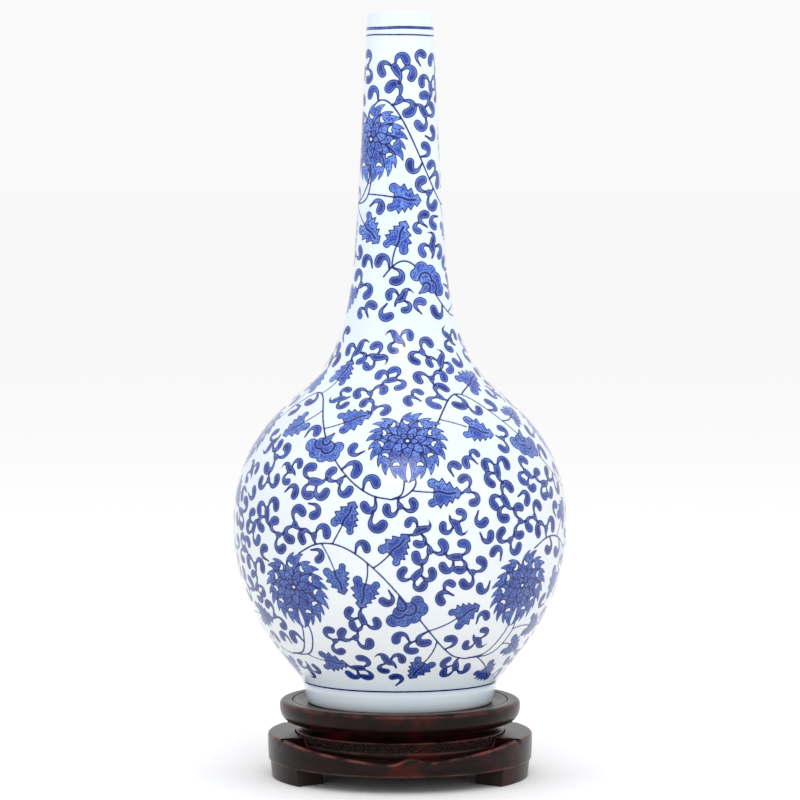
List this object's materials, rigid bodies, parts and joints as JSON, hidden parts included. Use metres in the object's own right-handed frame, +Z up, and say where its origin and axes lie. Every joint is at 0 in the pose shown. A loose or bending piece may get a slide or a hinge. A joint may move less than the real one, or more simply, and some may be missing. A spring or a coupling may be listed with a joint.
{
  "type": "porcelain vase on wooden stand",
  "caption": "Long-necked globular porcelain bottle vase with a round foot ring, lifting off a round lacquered wooden stand with a scooped apron and block feet.",
  "frame": {"origin": "centre of the bounding box's lower face: on the vase's axis, on the surface that the feet rest on", "axes": "+Z up along the vase's axis, front towards -Y, +X to the right"},
  "size_m": [0.194, 0.194, 0.443],
  "materials": {
    "glazed_porcelain": "clear gloss glaze over cobalt blue painting",
    "lacquered_wood": "dark red-brown gloss lacquer over hardwood",
    "bare_wood": "plain sanded dowel",
    "screw_metal": "plain brassed steel"
  },
  "bodies": {
    "stand": {"top_frame_ring": "lacquered_wood", "top_panel": "lacquered_wood", "waist_ring": "lacquered_wood", "base_plate": "lacquered_wood", "foot_front_left": "lacquered_wood", "foot_front_right": "lacquered_wood", "foot_back_left": "lacquered_wood", "foot_back_right": "lacquered_wood", "foot_dowels": "bare_wood", "assembly_screws": "screw_metal"},
    "vase": {"vase_lower_body": "glazed_porcelain", "vase_upper_body": "glazed_porcelain", "vase_neck": "glazed_porcelain"}
  },
  "joints": [
    {"name": "vase_lift", "type": "slide", "parent": "stand", "child": "vase", "axis": [0, 0, 1], "range_m": [0, 0.12]}
  ]
}
